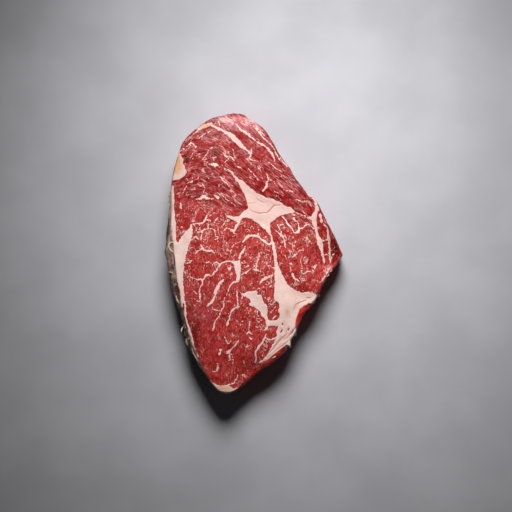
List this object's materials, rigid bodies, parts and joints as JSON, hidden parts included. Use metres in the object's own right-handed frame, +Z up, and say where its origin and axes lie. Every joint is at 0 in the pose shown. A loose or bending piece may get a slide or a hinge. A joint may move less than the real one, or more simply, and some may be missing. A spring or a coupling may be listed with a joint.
{
  "type": "raw beef steak",
  "caption": "Thick boneless rib-eye steak of raw beef, well marbled, lying flat on its cut face.",
  "frame": {"origin": "under the middle of the steak, on the surface that it lies on", "axes": "+Z up through the thickness, +Y along the long side towards the cap muscle, +X towards the pointed corner"},
  "size_m": [0.1268, 0.1985, 0.0323],
  "materials": {
    "raw_beef": "satin"
  },
  "bodies": {
    "root": {"steak": "raw_beef"}
  },
  "joints": []
}
